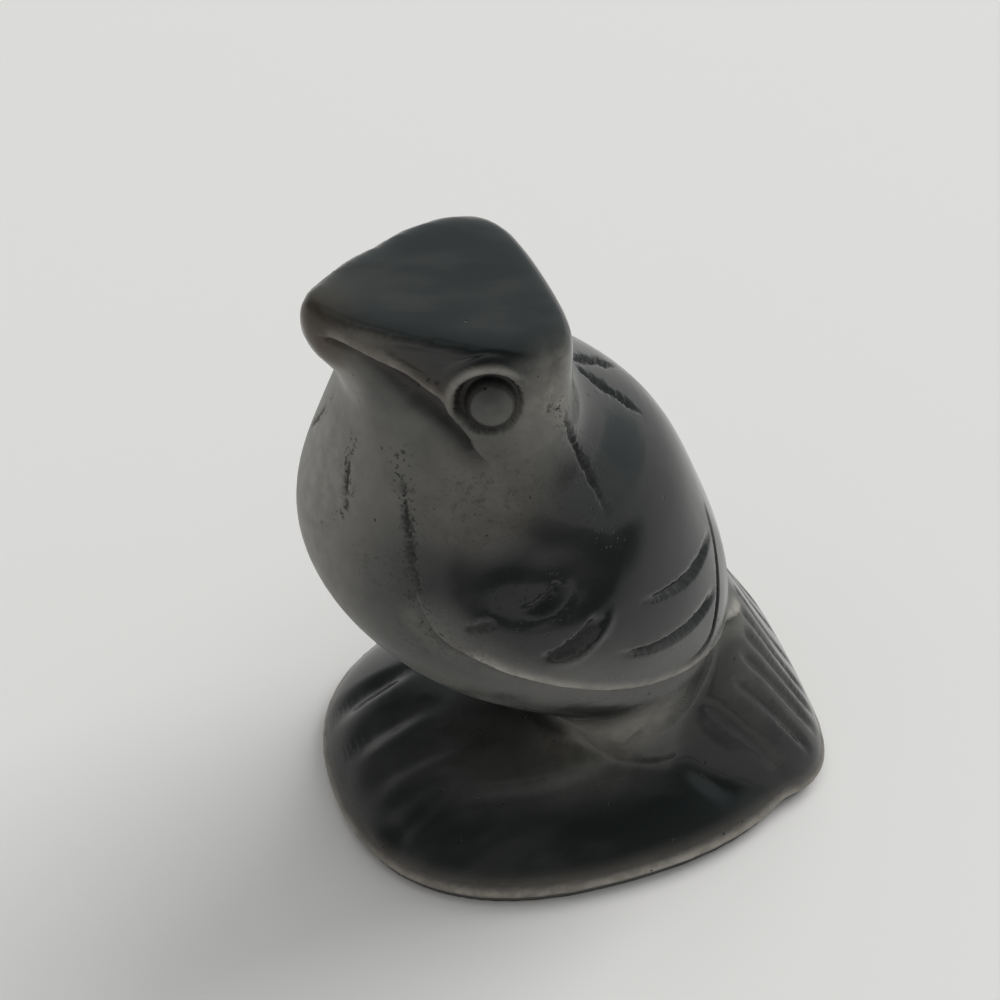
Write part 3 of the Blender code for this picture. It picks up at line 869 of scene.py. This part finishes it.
    def turn_head(self, block, sizes):
        """Turns the head on the neck, about the middle of the crown."""
        heights = sizes.base_height + NECK_HEIGHTS * sizes.figure_height
        angle = HEAD_TURN * ramp(block.points[:, 2], *heights)
        middle = CROWN_MIDDLE * sizes.figure_height
        across, along_y = block.points[:, 0].copy(), block.points[:, 1] - middle
        block.points[:, 0] = across * np.cos(angle) - along_y * np.sin(angle)
        block.points[:, 1] = middle + across * np.sin(angle) + along_y * np.cos(angle)
        block.settle()

    def stand(self, block):
        """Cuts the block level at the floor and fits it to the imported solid."""
        body = block.body
        for name, values in block.marks.items():
            mark = body.data.attributes.new(name, "FLOAT", "POINT")
            mark.data.foreach_set("value", values)
        bpy.ops.object.mode_set(mode="EDIT")
        bpy.ops.mesh.select_all(action="SELECT")
        bpy.ops.mesh.bisect(
            plane_co=(0, 0, 0), plane_no=(0, 0, 1), use_fill=True, clear_inner=True, threshold=1e-5
        )
        bpy.ops.mesh.select_all(action="SELECT")
        bpy.ops.mesh.quads_convert_to_tris()
        bpy.ops.object.mode_set(mode="OBJECT")
        low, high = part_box(NODE)
        stretch(body.data, np.array(low), np.array(high))


class CARVING_OT_finish(bpy.types.Operator):
    """Give the carving its polished volcanic glass"""

    bl_idname = "carving.finish"
    bl_label = "Polish the obsidian"

    def execute(self, context):
        body = bpy.data.objects[PIECE]
        body.data.shade_smooth()
        body.data.materials.clear()
        body.data.materials.append(self.obsidian(context.scene.bird_finish))
        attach(body, "root")
        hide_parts(NODE)
        return {"FINISHED"}

    def obsidian(self, finish):
        """Black glass: polished, dull where grit was left, brown where light comes through; the marks also
        carry painted highlights, painted reflections and painted shade.
        """
        material = bpy.data.materials.new("polished obsidian")
        material.use_nodes = True
        nodes, links = material.node_tree.nodes, material.node_tree.links
        shader = nodes["Principled BSDF"]
        shader.inputs["IOR"].default_value = 1.45
        place = nodes.new("ShaderNodeTexCoord")

        def mark(name):
            node = nodes.new("ShaderNodeAttribute")
            node.attribute_name = name
            return node.outputs["Fac"]

        def noise(scale, detail, rough=0.5, stretch_by=None):
            node = nodes.new("ShaderNodeTexNoise")
            node.inputs["Scale"].default_value = scale
            node.inputs["Detail"].default_value = detail
            node.inputs["Roughness"].default_value = rough
            source = place.outputs["Object"]
            if stretch_by:
                mapping = nodes.new("ShaderNodeMapping")
                mapping.inputs["Scale"].default_value = stretch_by
                mapping.inputs["Rotation"].default_value = (0.0, 0.0, 0.5)
                links.new(source, mapping.inputs["Vector"])
                source = mapping.outputs["Vector"]
            links.new(source, node.inputs["Vector"])
            return node.outputs["Fac"]

        def spots(scale, size):
            """1 at the middle of scattered specks, 0 past their size in cells."""
            node = nodes.new("ShaderNodeTexVoronoi")
            node.inputs["Scale"].default_value = scale
            links.new(place.outputs["Object"], node.inputs["Vector"])
            return between(node.outputs["Distance"], size, 0.4 * size, 0.0, 1.0)

        def between(value, low, high, at_low, at_high):
            node = nodes.new("ShaderNodeMapRange")
            node.interpolation_type = "SMOOTHSTEP"
            names = ("From Min", "From Max", "To Min", "To Max")
            for name, number in zip(names, (low, high, at_low, at_high)):
                node.inputs[name].default_value = number
            links.new(value, node.inputs["Value"])
            return node.outputs["Result"]

        def combine(operation, *values):
            node = nodes.new("ShaderNodeMath")
            node.operation = operation
            for socket, value in zip(node.inputs, values):
                if isinstance(value, (int, float)):
                    socket.default_value = value
                else:
                    links.new(value, socket)
            return node.outputs[0]

        def blend(share, first, second):
            node = nodes.new("ShaderNodeMix")
            node.data_type = "RGBA"
            for name, value in (("Factor", share), ("A", first), ("B", second)):
                if isinstance(value, tuple):
                    node.inputs[name].default_value = (*value, 1)
                else:
                    links.new(value, node.inputs[name])
            return node.outputs["Result"]

        cloud = noise(170, 5, 0.6)
        grit = noise(1500, 3, 0.6)
        streaks = noise(60, 3, 0.5, (4.5, 1.5, 1.0))
        dull = combine("MULTIPLY", mark("dull"), between(cloud, 0.25, 0.62, 0.45, 1.0))
        dull = combine("ADD", dull, between(streaks, 0.42, 0.68, 0.0, 0.14))
        wear_and_painted_light = combine("MULTIPLY", mark("wear_and_painted_light"), between(noise(900, 4, 0.6), 0.40, 0.62, 0.6, 1.0))
        grime_and_groove_shade = combine("MULTIPLY", mark("cut"), between(grit, 0.3, 0.55, 0.55, 1.0))
        crumbs = between(noise(2300, 4, 0.65), 0.55, 0.62, 0.0, 1.0)
        brown = combine("MULTIPLY", mark("thin"), between(cloud, 0.3, 0.65, 0.5, 1.0))
        pits = combine("MULTIPLY", combine("MAXIMUM", mark("pitted"), 0.04), spots(2600, 0.26))
        few = combine("MULTIPLY", spots(520, 0.075), 0.9)
        pits = combine("MAXIMUM", pits, few)
        grime_and_groove_shade = combine("MAXIMUM", grime_and_groove_shade, combine("MULTIPLY", mark("pitted"), crumbs))

        colour = blend(dull, tuple(finish.glass), tuple(finish.grit_film_and_painted_light))
        colour = blend(wear_and_painted_light, colour, tuple(finish.worn_edge_and_rim_highlight))
        colour = blend(brown, colour, tuple(finish.thin_glass))
        colour = blend(grime_and_groove_shade, colour, tuple(finish.grime_and_groove_shade))
        colour = blend(pits, colour, tuple(finish.glass))
        links.new(colour, shader.inputs["Base Color"])

        gloss = between(dull, 0.0, 0.8, 0.13, 0.42)
        gloss = combine("ADD", gloss, combine("MULTIPLY", mark("cut"), 0.25))
        gloss = combine("ADD", gloss, combine("MULTIPLY", between(streaks, 0.45, 0.7, 0.0, 1.0), 0.10))
        links.new(gloss, shader.inputs["Roughness"])

        fine = combine("MULTIPLY", grit, combine("ADD", combine("MULTIPLY", dull, 0.6), 0.08))
        fine = combine("ADD", fine, combine("MULTIPLY", streaks, 0.25))
        fine = combine("ADD", fine, combine("MULTIPLY", noise(110, 2, 0.4), 6.0))
        relief = combine("SUBTRACT", fine, combine("MULTIPLY", pits, 1.6))
        bump = nodes.new("ShaderNodeBump")
        bump.inputs["Strength"].default_value = 0.5
        bump.inputs["Distance"].default_value = 0.00006
        links.new(relief, bump.inputs["Height"])
        links.new(bump.outputs["Normal"], shader.inputs["Normal"])
        return material


# Each lamp: its name, where it hangs, how wide it is, and its power in watts.
LAMPS = (
    ("window", (-0.9, 2.2, 2.1), 2.0, 54.0),
    ("ceiling", (0.2, -0.2, 2.6), 2.5, 15.0),
)
# A dim glowing card on the table beside the bird, seen only by the glass: a painted shadow on the table that
# the glass mirrors.
CARD_PLACE = (0.20, 0.09, 0.002)
CARD_SIZE = (0.34, 0.42, 1.0)
CARD_SHADE = (0.20, 0.205, 0.205, 1)
# The room that the glass mirrors: its colour level with the table, partway up, and
# high up, and the colour of its bright parts.
ROOM_LOW = (0.72, 0.71, 0.70, 1)
ROOM_MIDDLE = (0.25, 0.26, 0.26, 1)
ROOM_HIGH = (0.14, 0.15, 0.15, 1)
ROOM_BRIGHT = (0.57, 0.62, 0.615, 1)
# The camera: the point it looks at, how far it stands off, at what bearing from the
# front and how high in degrees, and its lens on a sensor 36 mm wide.
CAMERA_TARGET = (0.0027, -0.0063, 0.0325)
CAMERA_DISTANCE = 0.1515
CAMERA_BEARING, CAMERA_HEIGHT = 72, 47
CAMERA_LENS = 80.64


class CARVING_OT_stage(bpy.types.Operator):
    """Lay the pale table and set the light and the camera"""

    bl_idname = "carving.stage"
    bl_label = "Set the stage"

    def execute(self, context):
        self.table(context.scene.bird_finish)
        self.card()
        self.lights()
        self.room()
        self.camera()
        context.scene.view_settings.view_transform = "Standard"
        return {"FINISHED"}

    def table(self, finish):
        bpy.ops.object.select_all(action="DESELECT")
        bpy.ops.mesh.primitive_plane_add(size=4)
        table = bpy.context.object
        table.name = "table"
        material = bpy.data.materials.new("pale table")
        material.use_nodes = True
        shader = material.node_tree.nodes["Principled BSDF"]
        shader.inputs["Base Color"].default_value = (*finish.table, 1)
        shader.inputs["Roughness"].default_value = 0.9
        shader.inputs["Specular IOR Level"].default_value = 0.1
        table.data.materials.append(material)

    def card(self):
        """A dim glowing card on the table beside the bird, which only the glass sees: a painted shadow on
        the table for the glass to mirror.
        """
        bpy.ops.object.select_all(action="DESELECT")
        bpy.ops.mesh.primitive_plane_add(size=1, location=CARD_PLACE)
        card = bpy.context.object
        card.name = "dim card"
        card.scale = CARD_SIZE
        material = bpy.data.materials.new("dim card")
        material.use_nodes = True
        nodes, links = material.node_tree.nodes, material.node_tree.links
        nodes.remove(nodes["Principled BSDF"])
        dim = nodes.new("ShaderNodeEmission")
        dim.inputs["Color"].default_value = CARD_SHADE
        clear = nodes.new("ShaderNodeBsdfTransparent")
        place = nodes.new("ShaderNodeTexCoord")
        middle = nodes.new("ShaderNodeVectorMath")
        middle.operation = "LENGTH"
        links.new(place.outputs["Object"], middle.inputs[0])
        fade = nodes.new("ShaderNodeMapRange")
        fade.interpolation_type = "SMOOTHSTEP"
        fade.inputs["From Min"].default_value = 0.5
        fade.inputs["From Max"].default_value = 0.36
        links.new(middle.outputs["Value"], fade.inputs["Value"])
        mixed = nodes.new("ShaderNodeMixShader")
        links.new(fade.outputs["Result"], mixed.inputs["Fac"])
        links.new(clear.outputs["BSDF"], mixed.inputs[1])
        links.new(dim.outputs["Emission"], mixed.inputs[2])
        links.new(mixed.outputs["Shader"], nodes["Material Output"].inputs["Surface"])
        card.data.materials.append(material)
        card.visible_camera = card.visible_diffuse = card.visible_shadow = False

    def lights(self):
        """A broad window behind the bird and a weak fill; the room is what the glass shows."""
        for name, place, size, power in LAMPS:
            light = bpy.data.lights.new(name, "AREA")
            light.size = size
            light.energy = power
            lamp = bpy.data.objects.new(name, light)
            bpy.context.scene.collection.objects.link(lamp)
            lamp.location = place
            lamp.rotation_euler = Vector(place).to_track_quat("Z", "Y").to_euler()
            lamp.visible_glossy = False

    def room(self):
        """A dim room, bright behind the bird and overhead, as the glass shows it."""
        world = bpy.data.worlds.new("room")
        bpy.context.scene.world = world
        world.use_nodes = True
        nodes, links = world.node_tree.nodes, world.node_tree.links
        way = nodes.new("ShaderNodeTexCoord")
        split = nodes.new("ShaderNodeSeparateXYZ")
        links.new(way.outputs["Generated"], split.inputs["Vector"])

        def toward(direction, low, high):
            facing = nodes.new("ShaderNodeVectorMath")
            facing.operation = "DOT_PRODUCT"
            facing.inputs[1].default_value = direction
            links.new(way.outputs["Generated"], facing.inputs[0])
            part = nodes.new("ShaderNodeMapRange")
            part.interpolation_type = "SMOOTHSTEP"
            part.inputs["From Min"].default_value = low
            part.inputs["From Max"].default_value = high
            links.new(facing.outputs["Value"], part.inputs["Value"])
            return part.outputs["Result"]

        dim = nodes.new("ShaderNodeValToRGB")
        links.new(split.outputs["Z"], dim.inputs["Fac"])
        dim.color_ramp.elements[0].color = ROOM_LOW
        dim.color_ramp.elements[1].color = ROOM_HIGH
        dim.color_ramp.elements[1].position = 0.80
        middle = dim.color_ramp.elements.new(0.45)
        middle.color = ROOM_MIDDLE
        lit = nodes.new("ShaderNodeMath")
        lit.operation = "MAXIMUM"
        links.new(toward(WINDOW_WAY, 0.05, 0.45), lit.inputs[0])
        links.new(toward((0.0, 0.0, 1.0), 0.87, 1.05), lit.inputs[1])
        sky = nodes.new("ShaderNodeMix")
        sky.data_type = "RGBA"
        links.new(lit.outputs[0], sky.inputs["Factor"])
        links.new(dim.outputs["Color"], sky.inputs["A"])
        sky.inputs["B"].default_value = ROOM_BRIGHT
        links.new(sky.outputs["Result"], nodes["Background"].inputs["Color"])

    def camera(self):
        camera = bpy.data.cameras.new("camera")
        eye = bpy.data.objects.new("camera", camera)
        bpy.context.scene.collection.objects.link(eye)
        bpy.context.scene.camera = eye
        bearing, height = math.radians(CAMERA_BEARING), math.radians(CAMERA_HEIGHT)
        back = Vector((
            math.sin(bearing) * math.cos(height),
            -math.cos(bearing) * math.cos(height),
            math.sin(height),
        ))
        eye.location = Vector(CAMERA_TARGET) + back * CAMERA_DISTANCE
        eye.rotation_euler = back.to_track_quat("Z", "Y").to_euler()
        camera.sensor_width = 36
        camera.lens = CAMERA_LENS
        camera.clip_start = 0.005


class CARVING_PT_panel(bpy.types.Panel):
    bl_label = "Carved obsidian bird"
    bl_idname = "CARVING_PT_panel"
    bl_space_type = "VIEW_3D"
    bl_region_type = "UI"
    bl_category = "Carving"

    def draw(self, context):
        for group in (context.scene.bird_sizes, context.scene.bird_finish):
            for name in group.bl_rna.properties.keys():
                if name not in ("rna_type", "name"):
                    self.layout.prop(group, name)
        for step in STEPS:
            self.layout.operator(step.bl_idname)


STEPS = (CARVING_OT_block, CARVING_OT_relief, CARVING_OT_finish, CARVING_OT_stage)
CLASSES = (BirdSizes, BirdFinish, *STEPS, CARVING_PT_panel)


def register():
    for each in CLASSES:
        bpy.utils.register_class(each)
    bpy.types.Scene.bird_sizes = PointerProperty(type=BirdSizes)
    bpy.types.Scene.bird_finish = PointerProperty(type=BirdFinish)


def unregister():
    del bpy.types.Scene.bird_finish
    del bpy.types.Scene.bird_sizes
    for each in reversed(CLASSES):
        bpy.utils.unregister_class(each)


def main():
    register()
    bpy.ops.carving.block()
    bpy.ops.carving.relief()
    bpy.ops.carving.finish()
    bpy.ops.carving.stage()


if __name__ == "__main__":
    main()
